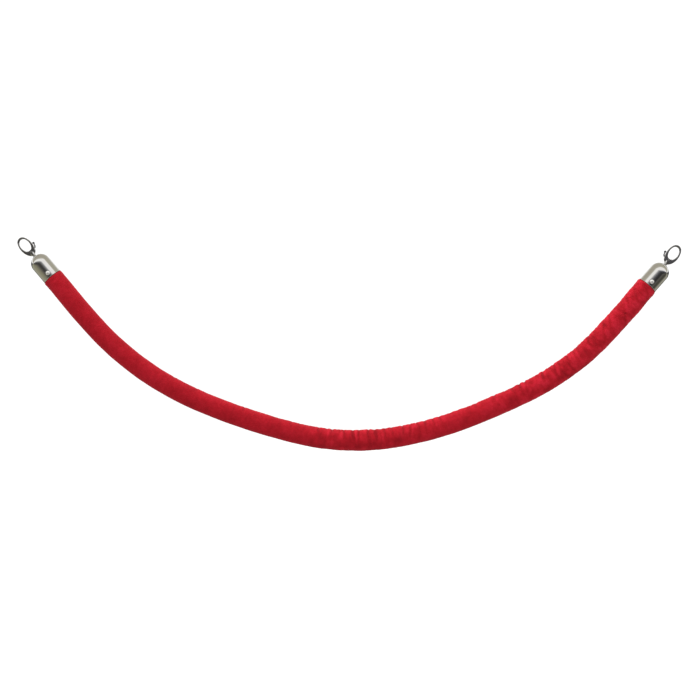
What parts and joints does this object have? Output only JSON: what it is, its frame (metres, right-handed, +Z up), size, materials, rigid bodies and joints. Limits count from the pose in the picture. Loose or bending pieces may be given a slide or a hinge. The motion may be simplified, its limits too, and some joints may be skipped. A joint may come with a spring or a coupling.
{
  "type": "velvet barrier rope",
  "caption": "Padded velvet barrier rope hanging in a sag between two polished bullet end caps, each with a swivelling spring-gate snap hook.",
  "frame": {"origin": "centre of the inner crown arc of the left snap hook, where it hangs from a post's ring", "axes": "+X towards the right hook, +Z up, +Y away from the viewer, square to the plane in which the rope sags"},
  "size_m": [1.2496, 0.0414, 0.3946],
  "materials": {
    "velvet": "cut-pile velvet",
    "foam": "open-cell foam",
    "cord": "braided",
    "chrome": "polished",
    "plug_wood": "turned",
    "ferrule": "satin",
    "steel": "zinc plated"
  },
  "bodies": {
    "rope": {"velvet_sleeve": "velvet", "foam_core": "foam", "tension_cord": "cord", "left_end_cap": "chrome", "left_cap_screws": "chrome", "left_end_plug": "plug_wood", "left_cord_ferrule": "ferrule", "left_seat_washer": "steel", "right_end_cap": "chrome", "right_cap_screws": "chrome", "right_end_plug": "plug_wood", "right_cord_ferrule": "ferrule", "right_seat_washer": "steel"},
    "left_stud": {"left_ball_stud": "chrome"},
    "left_hook": {"left_hook_body": "chrome", "left_gate_pin": "chrome", "left_gate_spring": "steel"},
    "left_gate": {"left_gate_lever": "chrome"},
    "right_stud": {"right_ball_stud": "chrome"},
    "right_hook": {"right_hook_body": "chrome", "right_gate_pin": "chrome", "right_gate_spring": "steel"},
    "right_gate": {"right_gate_lever": "chrome"}
  },
  "joints": [
    {"name": "left_stud_rock", "type": "hinge", "parent": "rope", "child": "left_stud", "pos_m": [0.02612, 0, -0.02886], "axis": [0, 1, 0], "range_deg": [-11, 11]},
    {"name": "left_hook_swivel", "type": "hinge", "parent": "left_stud", "child": "left_hook", "pos_m": [0.02612, 0, -0.02886], "axis": [-0.671, 0, 0.7415], "continuous": true},
    {"name": "left_gate_hinge", "type": "hinge", "parent": "left_hook", "child": "left_gate", "pos_m": [0.0151, 0, -0.01668], "axis": [0, 1, 0], "range_deg": [0, 28], "stiffness_Nm_per_rad": 0.02, "springref_deg": -20.05},
    {"name": "right_stud_rock", "type": "hinge", "parent": "rope", "child": "right_stud", "pos_m": [1.2053, 0, -0.0313], "axis": [0, -1, 0], "range_deg": [-16, 5]},
    {"name": "right_hook_swivel", "type": "hinge", "parent": "right_stud", "child": "right_hook", "pos_m": [1.2053, 0, -0.0313], "axis": [0.5807, 0, 0.8141], "continuous": true},
    {"name": "right_gate_hinge", "type": "hinge", "parent": "right_hook", "child": "right_gate", "pos_m": [1.21484, 0, -0.01793], "axis": [0, -1, 0], "range_deg": [0, 28], "stiffness_Nm_per_rad": 0.02, "springref_deg": -20.05}
  ]
}
